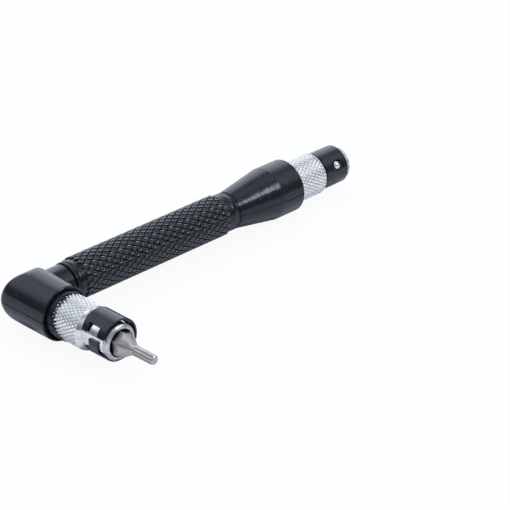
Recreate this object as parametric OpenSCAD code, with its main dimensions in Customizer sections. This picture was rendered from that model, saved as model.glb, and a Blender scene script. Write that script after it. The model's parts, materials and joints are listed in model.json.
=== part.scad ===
// Offset screwdriver: an L-shaped handle with a knurled quarter-inch bit socket at each end.
// The offset socket holds a double-ended star bit; the straight socket is empty.
// Lengths are in mm. The handle lies along X, the offset head points to -Y and Z is up.

/* [Handle] */
// Wall of the shells round the sockets' collars
shell_wall = 0.85; // [0.7:0.05:1.5]
// Depth of the offset socket's seat in the housing
offset_seat = 6.3; // [5:0.1:8]
// Start of the rounded closed end, from the handle axis toward the mouth
cap_start = 1; // [0:0.1:2]
// Depth of the rounded closed end
cap_depth = 6.4; // [6:0.1:7.5]
// Squareness of the closed end in plan: 2 is a dome, 7 a full-shouldered elbow
cap_power = 7; // [2:0.5:12]
// Bare neck's step above the spine
neck_step = 0.55; // [0.4:0.05:0.8]
// Length of the cone between the sleeve and the flare
cone_length = 14.6; // [12:0.1:18]
// Cone's step above the spine at its narrow end
cone_step = 0.75; // [0.5:0.05:1]
// Length of the flare's straight rim
flare_length = 8.5; // [7:0.5:10]
// Depth of the straight socket's seat in the flare
straight_seat = 5.8; // [5:0.1:7]
// Gap between the knurl and the recess round it in each mouth
recess_gap = 0.75; // [0.4:0.05:0.9]
// Depth of that recess
recess_depth = 1.5; // [0.5:0.1:2.5]

/* [Grip sleeve] */
// Start of the sleeve, from the head axis
grip_start = 11.2; // [10.8:0.1:13]
// Length of the sleeve
grip_length = 60.3; // [50:0.1:70]
// Wall of the joined shells under the sleeve, over the core bar's flats
spine_wall = 1.525; // [1.4:0.005:1.8]
// Thickness of the smooth rings at the sleeve's ends
ring_wall = 0.8; // [0.6:0.05:1]
// Length of each smooth ring
ring_length = 2.2; // [1:0.1:4]
// Height of the grip pads above the rings
pad_height = 0.45; // [0.3:0.05:0.7]

/* [Core bar] */
// Radius of the bar's bend, along its middle
core_bend_r = 6.5; // [5.5:0.1:8]
// Depth that the bar goes into the back of a socket
core_depth = 6; // [4:0.1:8]

/* [Sockets] */
// Length of each socket
socket_length = 27.5; // [24:0.1:32]
// Hexagon across flats of the bits and of the core bar
hex_af = 6.35; // [6.3:0.01:6.4]
// Wall of the tube over the hexagon's flats
tube_wall = 1.805; // [1.7:0.005:2]
// Small end of the shoulder, above the tube
shoulder_step = 0.62; // [0.4:0.02:0.9]
// Length of the plain tapered shoulder
shoulder_length = 1.35; // [0.8:0.05:2]
// Height of the knurl above the tube
knurl_step = 1.22; // [1:0.02:1.5]
// Height of the clamped collar above the knurl
collar_step = 0.65; // [0.4:0.05:0.8]
// Length of that collar
collar_length = 2.5; // [1.5:0.1:4]
// Round lead-in at the mouth, outside the hexagon's flats
lead_step = 0.725; // [0.6:0.005:0.9]
// Depth of the round lead-in
lead_depth = 1; // [0.5:0.1:1.5]
// Wall between the bit's bore and the core bar's
web = 1.1; // [0.8:0.1:2]
// Turn of the offset socket about the head axis, degrees
offset_turn = 4; // [-30:1:30]
// Turn of the straight socket about the handle axis, degrees above level
straight_turn = 27; // [0:1:60]

/* [Spring catches] */
// How far an empty socket's ball stands into the bore
ball_stand = 0.82; // [0.6:0.01:0.9]
// How far that ball stands into its band's hole
ball_proud = 0.625; // [0.4:0.005:0.8]
// Thickness of the spring bands
band_t = 0.55; // [0.4:0.01:0.7]
// Width of the spring bands
band_width = 8; // [7:0.1:8]
// Bare tube ahead of each band
band_from_end = 1.05; // [0.9:0.05:1.2]
// Bare tube behind it, to the shoulder
band_from_step = 0.2; // [0.1:0.05:0.5]
// How much the bit spreads the offset band, on its radius
band_spread = 0.42; // [0.3:0.01:0.5]
// Half of the gap between the spread band's ends, degrees
gap_half = 24; // [20:1:30]
// Length of the tongue along the band
tongue_length = 3.5; // [2.5:0.1:4]
// Width of the tongue
tongue_width = 3.2; // [3:0.1:4]
// Depth of the fork's notch along the band
notch_depth = 2.7; // [2:0.1:3.5]
// Room beside the tongue in the fork's notch
notch_room = 0.5; // [0.2:0.05:0.8]
// How far the spread band's tongue has slid along the tube
tongue_slide = 0.9; // [0:0.1:1.2]

/* [Star bit] */
// Full hexagon outside the socket
bit_hex_out = 1.8; // [1.5:0.1:3]
// Length from the full hexagon to the slim shaft
bit_taper = 4.2; // [3:0.1:5]
// Length of the slim shaft
bit_shaft = 7.3; // [6:0.1:9]
// Radius over the star's lobes
star_r = 1.4; // [1.2:0.05:1.7]
// Radius of the star's flutes
flute_r = 0.6; // [0.5:0.01:0.65]
// Depth of the flutes
flute_depth = 0.36; // [0.2:0.01:0.4]

/* [Clearances] */
// Seated pieces that do not move
seat_clear = 0.05; // [0.03:0.01:0.08]
// Pieces that slide
slide_clear = 0.05; // [0.03:0.01:0.08]
// Gap at a bearing point that only touches
touch_clear = 0.02; // [0.01:0.005:0.04]
// Room between the sleeve's end and the cone
sleeve_gap = 0.4; // [0.2:0.1:1]
// Room between the core bar's bend and the offset socket
bend_gap = 0.2; // [0.1:0.1:1]

/* [Hidden] */
$fn = 96;
// Hexagon corner radii: the bit and core bar, and the holes they go in
hex_r = hex_af / sqrt(3);
flat_hole = hex_af / 2 + slide_clear;
flat_core = hex_af / 2 + seat_clear;
hole_hex_r = flat_hole * 2 / sqrt(3);
core_hex_r = flat_core * 2 / sqrt(3);
// The sockets' radii, from the bore out, and their lengths
lead_r = flat_hole + lead_step;
tube_r = flat_hole + tube_wall;
shoulder_r = tube_r + shoulder_step;
knurl_r = tube_r + knurl_step;
collar_r = knurl_r + collar_step;
tube_length = band_from_end + band_width + band_from_step;
bit_depth = socket_length - core_depth - web;
// The handle's radii: the housing and the flare are alike, and the tool lies on both
recess_r = knurl_r + recess_gap;
body_r = collar_r + seat_clear + shell_wall;
spine_r = flat_core + spine_wall;
neck_r = spine_r + neck_step;
cone_root_r = spine_r + cone_step;
ring_r = spine_r + ring_wall;
grip_r = ring_r + pad_height;
// Places along the head, from the handle axis
offset_back = core_bend_r + bend_gap;
mouth_reach = offset_back + offset_seat;
offset_reach = offset_back + socket_length;
// Places along the handle, from the head axis
cone_start = grip_start + grip_length + sleeve_gap;
flare_start = cone_start + cone_length;
flare_end = flare_start + flare_length;
straight_back = flare_end - straight_seat;
straight_reach = straight_back + socket_length;
bit_tip = bit_hex_out + bit_taper + bit_shaft;
// The bands: the ball is halfway along
ball_back = band_from_end + band_width / 2;
band_rest_r = tube_r + seat_clear;
band_open_r = tube_r + band_spread;
band_shift = band_open_r - tube_r - touch_clear;
notch_width = tongue_width + 2 * notch_room;
// Ball centres from a socket's axis, held out by a bit and at rest in an empty socket
ball_r = (band_rest_r + ball_proud - flat_hole + ball_stand) / 2;
ball_out = hex_af / 2 + touch_clear + ball_r;
ball_rest = flat_hole - ball_stand + ball_r;
ball_hole_r = ball_r + slide_clear;
// The cone that stops a ball from falling in
seat_low = flat_hole - 0.15;
seat_high = ball_rest - 0.3;
seat_low_r = sqrt(pow(ball_r, 2) - pow(ball_rest - seat_low, 2)) + 0.1;
// Length along the band of its spread gap, and the relaxed gap that the same strip leaves
open_mid = band_open_r + band_t / 2;
rest_mid = band_rest_r + band_t / 2;
rest_gap_half = 180 - (180 - gap_half) * open_mid / rest_mid;
// The frame's origin is under the middle of the whole tool, on the table
mid_x = (straight_reach - body_r) / 2;
mid_y = (body_r - offset_reach - bit_tip) / 2;
// Far beyond any part
big = 2 * (straight_reach + offset_reach);
// Closed end: steps round the plan and up to the crown, and its start inside the housing
plan_steps = 48;
rise_steps = 20;
cap_r = body_r - 0.02;
cap_root = cap_start + 0.6;

// Puts the tool on the table with the origin under its middle
module placed() {
    translate([-mid_x, -mid_y, body_r]) children();
}

// Lays a piece built up Z from its socket's mouth along the offset head, ball side to +X
module at_offset() {
    translate([0, -offset_reach, 0]) rotate([90, 0, 0]) rotate([0, 0, offset_turn]) children();
}

// The same for the straight head, ball side to the front and up
module at_straight() {
    translate([straight_reach, 0, 0]) rotate([0, 90, 0]) rotate([0, 0, 270 - straight_turn]) children();
}

// Turns a profile drawn as radius and height into a piece along the handle axis
module round_along_x(points) {
    rotate([0, 90, 0]) rotate_extrude() polygon(points);
}

// Reach of the closed end in plan at one bearing: a superellipse of the given squareness
function cap_plan(bearing) =
    pow(pow(abs(cos(bearing)) / cap_r, cap_power) + pow(abs(sin(bearing)) / cap_depth, cap_power),
        -1 / cap_power);

// One point of the closed end; every upright section is a half ellipse to the crown
function cap_point(bearing, rise) =
    [cap_plan(bearing) * cos(bearing) * cos(rise),
     cap_plan(bearing) * sin(bearing) * cos(rise) - cap_start,
     cap_r * sin(rise)];

// Upper half of the closed end, full-shouldered in plan and round in every upright section
module closed_end() {
    n = plan_steps + 1;
    rows = [for (j = [0:rise_steps - 1]) for (i = [0:plan_steps])
        cap_point(180 * i / plan_steps, 90 * j / rise_steps)];
    crown = [[0, -cap_start, cap_r]];
    root = [for (k = [0:2 * rise_steps])
        [cap_r * cos(90 * k / rise_steps), -cap_root, cap_r * sin(90 * k / rise_steps)]];
    top = n * rise_steps;
    base = top + 1;
    skin = [for (j = [0:rise_steps - 2]) for (i = [0:plan_steps - 1])
        [j * n + i, (j + 1) * n + i, (j + 1) * n + i + 1, j * n + i + 1]];
    cone = [for (i = [0:plan_steps - 1])
        [(rise_steps - 1) * n + i, top, (rise_steps - 1) * n + i + 1]];
    right = [for (k = [0:rise_steps - 2])
        [k * n, base + k, base + k + 1, (k + 1) * n]];
    right_top = [[(rise_steps - 1) * n, base + rise_steps - 1, base + rise_steps, top]];
    left = [for (k = [0:rise_steps - 2])
        [k * n + plan_steps, (k + 1) * n + plan_steps,
         base + 2 * rise_steps - k - 1, base + 2 * rise_steps - k]];
    left_top = [[(rise_steps - 1) * n + plan_steps, top, base + rise_steps, base + rise_steps + 1]];
    front = [[for (k = [0:2 * rise_steps]) base + 2 * rise_steps - k]];
    floor = [concat([for (i = [0:plan_steps]) i], [base + 2 * rise_steps, base])];
    polyhedron(concat(rows, crown, root),
        concat(skin, cone, right, right_top, left, left_top, front, floor), convexity = 4);
}

// Outside of the whole handle: housing, closed end, neck, spine under the sleeve, cone and flare
module handle_solid() {
    rotate([90, 0, 0]) translate([0, 0, cap_start]) rotate_extrude() polygon([
        [0, 0], [body_r, 0], [body_r, mouth_reach - cap_start - 0.25],
        [body_r - 0.25, mouth_reach - cap_start], [0, mouth_reach - cap_start]]);
    closed_end();
    mirror([0, 0, 1]) closed_end();
    round_along_x([
        [0, 1], [neck_r, 1], [neck_r, grip_start - 0.6], [neck_r - 0.25, grip_start - 0.5],
        [neck_r - 0.25, grip_start], [spine_r, grip_start], [spine_r, grip_start + grip_length],
        [cone_root_r - 0.3, grip_start + grip_length], [cone_root_r - 0.3, cone_start - 0.1],
        [cone_root_r, cone_start], [body_r, flare_start], [body_r, flare_end - 0.25],
        [body_r - 0.25, flare_end], [0, flare_end]]);
}

// The seat that the shells make for one socket, drawn from its mouth
module socket_seat(mouth_back) {
    translate([0, 0, -socket_length - seat_clear])
        cylinder(r = knurl_r + seat_clear, h = socket_length);
    translate([0, 0, -socket_length - seat_clear])
        cylinder(r = collar_r + seat_clear, h = collar_length + 2 * seat_clear);
    translate([0, 0, -mouth_back - recess_depth])
        cylinder(r = recess_r, h = recess_depth + 1);
}

// The core bar's path: a hexagonal bar bent once to reach both sockets
module core_path(corner_r, spare) {
    translate([core_bend_r, -core_bend_r, 0]) rotate([0, 0, 90])
        rotate_extrude(angle = 90) translate([core_bend_r, 0])
        rotate(30 + offset_turn) circle(r = corner_r, $fn = 6);
    translate([core_bend_r, 0, 0]) rotate([0, 90, 0]) rotate([0, 0, -90]) mirror([1, 0, 0])
        linear_extrude(straight_back + core_depth - core_bend_r - 0.1 + spare)
        rotate(30 + offset_turn) circle(r = corner_r, $fn = 6);
    translate([0, -core_bend_r, 0]) rotate([90, 0, 0]) mirror([1, 0, 0])
        linear_extrude(bend_gap + core_depth - 0.1 + spare)
        rotate(30 + offset_turn) circle(r = corner_r, $fn = 6);
}

// Everything that the shells leave room for
module handle_hollows() {
    at_offset() socket_seat(offset_reach - mouth_reach);
    at_straight() socket_seat(straight_reach - flare_end);
    core_path(core_hex_r, 0.1);
}

// Where the shells' locating pegs stand, on the seam
module at_pegs() {
    translate([-body_r + 2.2, 0.6, 0]) children();
    for (side = [-1, 1])
        translate([flare_start - 3.6, side * 5.1, 0]) children();
}

// Upper half of the handle, with the peg holes
module handle_upper_shell() {
    color([0.06, 0.06, 0.07]) placed() difference() {
        intersection() {
            handle_solid();
            translate([-big / 4, -big / 2, 0]) cube([big, big, big]);
        }
        handle_hollows();
        at_pegs() translate([0, 0, -1]) cylinder(r = 0.9 + seat_clear, h = 2.8, $fn = 48);
    }
}

// Lower half of the handle, with the pegs
module handle_lower_shell() {
    color([0.06, 0.06, 0.07]) placed() {
        difference() {
            intersection() {
                handle_solid();
                translate([-big / 4, -big / 2, -big]) cube([big, big, big]);
            }
            handle_hollows();
        }
        at_pegs() translate([0, 0, -1]) cylinder(r = 0.9, h = 2.6, $fn = 48);
    }
}

// Moulded sleeve round the joined shells, with a smooth ring at each end
module grip_sleeve() {
    bore = spine_r + seat_clear;
    far = grip_start + grip_length - seat_clear;
    near = grip_start + seat_clear;
    color([0.08, 0.08, 0.09]) placed() round_along_x([
        [bore, near], [ring_r - 0.15, near], [ring_r, near + 0.15],
        [ring_r, near + ring_length], [grip_r, near + ring_length + 0.3],
        [grip_r, far - ring_length - 0.3], [ring_r, far - ring_length],
        [ring_r, far - 0.15], [ring_r - 0.15, far], [bore, far]]);
}

// Bent hexagonal bar that joins the two sockets inside the handle
module core_bar() {
    color([0.45, 0.46, 0.48]) placed() core_path(hex_r, 0);
}

// One socket, drawn up Z to its mouth with the ball hole toward +X
module socket(back_turn) {
    back = -socket_length;
    step = -tube_length - shoulder_length;
    difference() {
        rotate_extrude() polygon([
            [0, back], [collar_r - 0.3, back], [collar_r, back + 0.3],
            [collar_r, back + collar_length], [knurl_r, back + collar_length],
            [knurl_r, step - 0.1], [knurl_r - 0.1, step], [shoulder_r, -tube_length - 0.05],
            [shoulder_r - 0.05, -tube_length], [tube_r, -tube_length],
            [tube_r, -0.35], [tube_r - 0.35, 0], [0, 0]]);
        translate([0, 0, -bit_depth]) rotate(30)
            cylinder(r = hole_hex_r, h = bit_depth + 1, $fn = 6);
        translate([0, 0, -lead_depth]) cylinder(r = lead_r, h = lead_depth + 1);
        translate([0, 0, back - 1]) rotate(back_turn)
            cylinder(r = core_hex_r, h = core_depth + 1, $fn = 6);
        translate([0, 0, -ball_back]) rotate([0, 90, 0]) {
            translate([0, 0, seat_high]) cylinder(r = ball_hole_r, h = tube_r);
            translate([0, 0, seat_low])
                cylinder(r1 = seat_low_r, r2 = ball_hole_r, h = seat_high - seat_low);
        }
    }
}

// Socket in the housing, holding the bit
module offset_socket() {
    color([0.8, 0.81, 0.84]) placed() at_offset() socket(30 - 2 * offset_turn);
}

// Socket in the flare, empty
module straight_socket() {
    color([0.8, 0.81, 0.84]) placed() at_straight()
        socket(straight_turn - offset_turn + 30);
}

// A wedge that cuts a band between two bearings
module wedge(from, to, width) {
    reach = 4 * band_open_r;
    linear_extrude(width, center = true) polygon([
        [0, 0], reach * [cos(from), sin(from)],
        reach * [cos((from + to) / 2), sin((from + to) / 2)], reach * [cos(to), sin(to)]]);
}

// Split spring band, drawn round its own axis: forked end, tongue and the ball's hole toward +X
module spring_band(inner_r, half, ball_off, slide) {
    mid_r = inner_r + band_t / 2;
    tongue_turn = tongue_length / mid_r * 180 / PI;
    notch_turn = notch_depth / mid_r * 180 / PI;
    // The hole's sides, lowest round the band, are where it bears on the ball
    bear = (pow(inner_r, 2) + pow(ball_off, 2) - pow(ball_r, 2)) / (2 * ball_off);
    hole_r = sqrt(pow(inner_r, 2) - pow(bear, 2)) + touch_clear;
    difference() {
        cylinder(r = inner_r + band_t, h = band_width, center = true);
        cylinder(r = inner_r, h = band_width + 2, center = true);
        difference() {
            wedge(180 - half, 180 + half, band_width + 2);
            translate([0, 0, slide]) wedge(180 + half - tongue_turn, 181 + half, tongue_width);
        }
        wedge(180 - half - notch_turn, 181 - half, notch_width);
        rotate([0, 90, 0]) cylinder(r = hole_r, h = 3 * inner_r, $fn = 48);
    }
}

// Band of the offset socket, spread and carried toward the ball by the bit
module offset_spring_band() {
    color([0.1, 0.1, 0.11]) placed() at_offset() translate([band_shift, 0, -ball_back])
        spring_band(band_open_r, gap_half, ball_out - band_shift, tongue_slide);
}

// Band of the straight socket, relaxed
module straight_spring_band() {
    color([0.1, 0.1, 0.11]) placed() at_straight() translate([0, 0, -ball_back])
        spring_band(band_rest_r, rest_gap_half, ball_rest, 0);
}

// Ball of the offset socket, held out by the bit's flat
module offset_detent_ball() {
    color([0.85, 0.85, 0.86]) placed() at_offset()
        translate([ball_out, 0, -ball_back]) sphere(r = ball_r, $fn = 48);
}

// Ball of the straight socket, at rest in its seat
module straight_detent_ball() {
    color([0.85, 0.85, 0.86]) placed() at_straight()
        translate([ball_rest, 0, -ball_back]) sphere(r = ball_r, $fn = 48);
}

// Section of the star: a round with six flutes
module star_section() {
    difference() {
        circle(r = star_r, $fn = 48);
        for (i = [0:5])
            rotate(60 * i) translate([star_r - flute_depth + flute_r, 0]) circle(r = flute_r, $fn = 32);
    }
}

// One end of the bit, drawn from its middle up to the tip
module bit_half(half) {
    hex_end = half - bit_tip + bit_hex_out;
    slim = hex_end + bit_taper;
    face_end = hex_end + 0.2 * bit_taper;
    intersection() {
        rotate(30) cylinder(r = hex_r, h = face_end + 0.2, $fn = 6);
        rotate_extrude() polygon([
            [0, 0], [hex_r + 0.1, 0], [hex_r + 0.1, hex_end - 0.15], [hex_af / 2, face_end],
            [hex_af / 2 - 0.1, face_end + 0.2], [0, face_end + 0.2]]);
    }
    rotate_extrude() polygon([
        [0, face_end], [hex_af / 2 - 0.1, face_end + 0.2],
        [star_r + 1.2, hex_end + 0.43 * bit_taper], [star_r + 0.7, hex_end + 0.62 * bit_taper],
        [star_r + 0.35, hex_end + 0.77 * bit_taper], [star_r + 0.1, hex_end + 0.91 * bit_taper],
        [star_r - 0.15, slim + 0.4], [0, slim + 0.4]]);
    intersection() {
        translate([0, 0, hex_end + 1]) linear_extrude(half - hex_end - 1) star_section();
        rotate_extrude() polygon([
            [0, 0], [star_r + 1, 0], [star_r + 1, half - 1], [star_r, half - 0.45],
            [star_r - 0.45, half], [0, half]]);
    }
}

// Double-ended bit in the offset socket
module star_bit() {
    half = (bit_tip + bit_depth - 0.1) / 2;
    color([0.5, 0.49, 0.47]) placed() at_offset() translate([0, 0, bit_tip - half]) {
        bit_half(half);
        mirror([0, 0, 1]) bit_half(half);
    }
}

handle_upper_shell();
handle_lower_shell();
grip_sleeve();
core_bar();
offset_socket();
straight_socket();
offset_spring_band();
straight_spring_band();
offset_detent_ball();
straight_detent_ball();
star_bit();
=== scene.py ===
"""Looks of the offset screwdriver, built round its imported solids.

Every length is in metres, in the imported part's own frame: the handle lies along X, the offset
head points to -Y, and the tool lies on the table at Z 0.
"""

import json
import logging
import math
from abc import ABC, abstractmethod
from collections.abc import Callable, Iterator, Mapping, Sequence
from contextlib import contextmanager
from dataclasses import dataclass, field
from enum import Enum, IntEnum
from itertools import pairwise
from typing import Any

import bmesh
import bpy
from mathutils import Matrix, Vector

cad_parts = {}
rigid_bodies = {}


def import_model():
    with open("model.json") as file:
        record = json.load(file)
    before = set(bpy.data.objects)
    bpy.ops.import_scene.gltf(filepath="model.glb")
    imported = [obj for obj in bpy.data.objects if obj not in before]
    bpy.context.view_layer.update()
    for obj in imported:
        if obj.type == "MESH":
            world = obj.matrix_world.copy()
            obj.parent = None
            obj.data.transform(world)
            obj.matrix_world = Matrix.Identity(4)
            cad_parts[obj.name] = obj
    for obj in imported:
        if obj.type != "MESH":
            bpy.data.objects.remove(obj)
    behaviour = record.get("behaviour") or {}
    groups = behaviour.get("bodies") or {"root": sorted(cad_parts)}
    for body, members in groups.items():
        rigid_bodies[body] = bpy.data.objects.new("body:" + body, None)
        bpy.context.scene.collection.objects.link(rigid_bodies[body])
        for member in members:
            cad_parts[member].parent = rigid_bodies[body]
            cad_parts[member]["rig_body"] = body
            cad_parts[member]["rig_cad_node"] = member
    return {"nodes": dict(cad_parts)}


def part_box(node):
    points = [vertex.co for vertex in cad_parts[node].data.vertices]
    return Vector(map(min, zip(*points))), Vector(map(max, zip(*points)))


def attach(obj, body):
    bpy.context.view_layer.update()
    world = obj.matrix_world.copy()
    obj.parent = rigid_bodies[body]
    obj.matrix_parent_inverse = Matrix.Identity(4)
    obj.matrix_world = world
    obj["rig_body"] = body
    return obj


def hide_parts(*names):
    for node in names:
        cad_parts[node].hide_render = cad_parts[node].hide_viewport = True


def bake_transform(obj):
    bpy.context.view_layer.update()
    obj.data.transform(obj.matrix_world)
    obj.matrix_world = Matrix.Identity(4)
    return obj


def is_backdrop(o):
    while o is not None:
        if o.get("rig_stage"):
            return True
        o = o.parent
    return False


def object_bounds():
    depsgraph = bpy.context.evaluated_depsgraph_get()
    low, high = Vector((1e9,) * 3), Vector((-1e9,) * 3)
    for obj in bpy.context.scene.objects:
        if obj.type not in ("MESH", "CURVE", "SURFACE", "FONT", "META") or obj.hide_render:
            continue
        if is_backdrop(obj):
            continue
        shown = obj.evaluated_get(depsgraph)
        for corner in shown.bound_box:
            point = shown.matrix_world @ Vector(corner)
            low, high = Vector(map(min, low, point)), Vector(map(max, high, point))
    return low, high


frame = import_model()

MM = 0.001
# Side of the photograph, in pixels.
PHOTO_SIDE = 510
LOG = logging.getLogger("offset_screwdriver")

Colour = tuple[float, float, float, float]
Stretch = tuple[float, float, float]

WHITE: Colour = (1, 1, 1, 1)
BLACK: Colour = (0, 0, 0, 1)
MOULDING_IOR = 1.5

# Vertices nearer than this are one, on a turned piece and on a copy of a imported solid.
TURNED_MERGE = 0.001 * MM
SOLID_MERGE = 0.002 * MM
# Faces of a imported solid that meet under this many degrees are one.
SOLID_FLAT = 0.5
# A vertex this near to a place lies on it.
ON_PLACE = 0.02 * MM
# The same for the flat top of a grip pad.
TOP_NEAR = 0.01 * MM
# A face points along an axis if its normal's share of that axis passes this.
FACING = 0.9
# Sides of a round hole's cutter.
HOLE_SIDES = 48


# Modelling helpers


class Axis(IntEnum):
    """An axis of the part's frame."""

    X = 0
    Y = 1
    Z = 2


class Pick(Enum):
    """What an edit-mode selection holds."""

    VERTS = "VERT"
    EDGES = "EDGE"
    FACES = "FACE"


def select_only(obj: bpy.types.Object) -> None:
    """Leaves one object selected and active.

    Args:
        obj: The object to work on.
    """
    bpy.ops.object.select_all(action="DESELECT")
    obj.select_set(True)
    bpy.context.view_layer.objects.active = obj


def named(obj: bpy.types.Object, name: str) -> bpy.types.Object:
    """Gives an object and its mesh the same name."""
    obj.name = obj.data.name = name
    return obj


def fresh(name: str, add: Callable[..., Any], **settings: Any) -> bpy.types.Object:
    """Adds a primitive with nothing else selected.

    Args:
        name: The new object's name.
        add: The operator that adds it.
        settings: The operator's settings.

    Returns:
        The new object.
    """
    bpy.ops.object.select_all(action="DESELECT")
    add(**settings)
    return named(bpy.context.active_object, name)


@contextmanager
def editing(obj: bpy.types.Object) -> Iterator[None]:
    """Holds one object in edit mode with all of it selected.

    Args:
        obj: The mesh object to edit.
    """
    select_only(obj)
    bpy.ops.object.mode_set(mode="EDIT")
    bpy.ops.mesh.select_mode(type=Pick.VERTS.value)
    bpy.ops.mesh.select_all(action="SELECT")
    try:
        yield
    finally:
        bpy.ops.object.mode_set(mode="OBJECT")


def pick(obj: bpy.types.Object, kind: Pick, test: Callable[[Any], bool]) -> int:
    """Selects by place or normal, in edit mode.

    Args:
        obj: The object being edited.
        kind: Whether vertices, edges or faces are picked.
        test: Says whether one element is picked.

    Returns:
        How many elements are selected.
    """
    bpy.ops.mesh.select_mode(type=kind.value)
    bpy.ops.mesh.select_all(action="DESELECT")
    mesh = bmesh.from_edit_mesh(obj.data)
    groups = {Pick.VERTS: mesh.verts, Pick.EDGES: mesh.edges, Pick.FACES: mesh.faces}
    picked = [part for part in groups[kind] if test(part)]
    for part in picked:
        part.select_set(True)
    mesh.select_flush_mode()
    bmesh.update_edit_mesh(obj.data)
    return len(picked)


def modify(obj: bpy.types.Object, kind: str, **settings: Any) -> None:
    """Adds one modifier and applies it.

    Args:
        obj: The object that gets it.
        kind: The modifier's type.
        settings: Its properties.
    """
    select_only(obj)
    modifier = obj.modifiers.new(kind.title(), kind)
    for key, value in settings.items():
        setattr(modifier, key, value)
    bpy.ops.object.modifier_apply(modifier=modifier.name)


def step_along(axis: Axis, distance: float) -> Vector:
    """Gives a step along one axis."""
    return Vector([distance if i == axis else 0.0 for i in Axis])


def apply_place() -> None:
    """Puts the selected object's place, turn and scale into its mesh."""
    bpy.ops.object.transform_apply(location=True, rotation=True, scale=True)


def settle(obj: bpy.types.Object, place: Matrix) -> None:
    """Moves a piece to its place and puts that place into its mesh.

    Args:
        obj: The piece, drawn about the origin.
        place: Where its own frame stands in the part's frame.
    """
    select_only(obj)
    obj.matrix_world = place @ obj.matrix_world
    apply_place()


def carve(obj: bpy.types.Object, cutter: bpy.types.Object) -> None:
    """Cuts a closed mesh out of a piece and removes the cutter."""
    modify(obj, "BOOLEAN", operation="DIFFERENCE", solver="EXACT", object=cutter)
    bpy.data.objects.remove(cutter)


def ease(obj: bpy.types.Object, width: float, degrees: float) -> None:
    """Rounds a piece's edges that are sharper than an angle.

    Args:
        obj: The piece.
        width: Width of the rounding.
        degrees: The angle.
    """
    modify(
        obj,
        "BEVEL",
        width=width,
        segments=2,
        limit_method="ANGLE",
        angle_limit=math.radians(degrees),
        use_clamp_overlap=True,
    )


def joined(name: str, pieces: Sequence[bpy.types.Object]) -> bpy.types.Object:
    """Joins meshes into the first of them.

    Args:
        name: The joined object's name.
        pieces: The objects to join.

    Returns:
        The joined object.
    """
    select_only(pieces[0])
    for piece in pieces[1:]:
        piece.select_set(True)
    bpy.ops.object.join()
    return named(bpy.context.active_object, name)


def smooth(obj: bpy.types.Object, degrees: float) -> None:
    """Shades a piece smooth up to an edge angle, with its broad faces kept flat.

    Args:
        obj: The piece.
        degrees: Edges sharper than this stay crisp.
    """
    select_only(obj)
    bpy.ops.object.shade_smooth_by_angle(angle=math.radians(degrees))
    modify(obj, "WEIGHTED_NORMAL", mode="FACE_AREA", keep_sharp=True)


def turned(name: str, outline: Sequence[tuple[float, float]], steps: int) -> bpy.types.Object:
    """Turns an outline round Z, as on a lathe.

    Args:
        name: The new object's name.
        outline: Radius and height of each corner, in metres.
        steps: How many facets go round.

    Returns:
        The turned object.
    """
    obj = fresh(name, bpy.ops.mesh.primitive_plane_add, size=MM)
    with editing(obj):
        bpy.ops.mesh.merge(type="CENTER")
        radius, height = outline[0]
        bpy.ops.transform.translate(value=(radius, 0, height))
        for (r_from, h_from), (r_to, h_to) in pairwise(outline):
            bpy.ops.mesh.extrude_region_move(
                TRANSFORM_OT_translate={"value": (r_to - r_from, 0, h_to - h_from)}
            )
        bpy.ops.mesh.select_all(action="SELECT")
        bpy.ops.mesh.spin(
            steps=steps, angle=2 * math.pi, center=(0, 0, 0), axis=(0, 0, 1)
        )
        bpy.ops.mesh.select_all(action="SELECT")
        bpy.ops.mesh.remove_doubles(threshold=TURNED_MERGE)
        bpy.ops.mesh.normals_make_consistent(inside=False)
    return obj


def rod(
    name: str,
    sides: int,
    radius: float,
    length: float,
    middle: Sequence[float],
    tilt: float = 0.0,
) -> bpy.types.Object:
    """Adds a round or many-sided rod.

    Args:
        name: The new object's name.
        sides: How many sides it has.
        radius: Distance of its corners from its axis.
        length: Its length.
        middle: Where its middle lies.
        tilt: How far it is turned about Y from upright, in radians.

    Returns:
        The rod.
    """
    return fresh(
        name,
        bpy.ops.mesh.primitive_cylinder_add,
        vertices=sides,
        radius=radius,
        depth=length,
        location=middle,
        rotation=(0, tilt, 0),
    )


@dataclass
class StudField:
    """A staggered field of studs, laid flat and bent into a tube round X.

    Attributes:
        columns: Studs round the tube in one row.
        rows: Rows along it, every second one half a step round.
        pitch: Distance along the tube between rows that line up.
        base_r: Radius that the studs' feet stand on.
    """

    columns: int
    rows: int
    pitch: float
    base_r: float

    def wrap(self, name: str, stud: bpy.types.Object) -> bpy.types.Object:
        """Copies one stud over the field and bends it.

        Args:
            name: The field's name.
            stud: One stud standing toward -Y, centred on the origin, with X along the tube.

        Returns:
            The bent field, centred on the X axis and starting at its first row.
        """
        girth = 2 * math.pi * self.base_r
        step = girth / self.columns
        select_only(stud)
        bpy.ops.object.duplicate()
        second = bpy.context.active_object
        halves = []
        for half, count, shift in (
            (stud, (self.rows + 1) // 2, 0.0),
            (second, self.rows // 2, 0.5),
        ):
            for along, number in (((self.pitch, 0, 0), count), ((0, 0, step), self.columns)):
                modify(
                    half,
                    "ARRAY",
                    use_relative_offset=False,
                    use_constant_offset=True,
                    constant_offset_displace=along,
                    count=number,
                )
            start = (shift * self.pitch, 0, shift * step - girth / 2)
            settle(half, Matrix.Translation(start))
            halves.append(half)
        sheet = joined(name, halves)
        heights = [v.co.z for v in sheet.data.vertices]
        reach = max(heights) - min(heights)
        modify(
            sheet,
            "SIMPLE_DEFORM",
            deform_method="BEND",
            deform_axis="X",
            angle=2 * math.pi * reach / girth,
        )
        settle(sheet, Matrix.Translation((0, -self.base_r, 0)))
        return sheet


# Shader helpers


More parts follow.
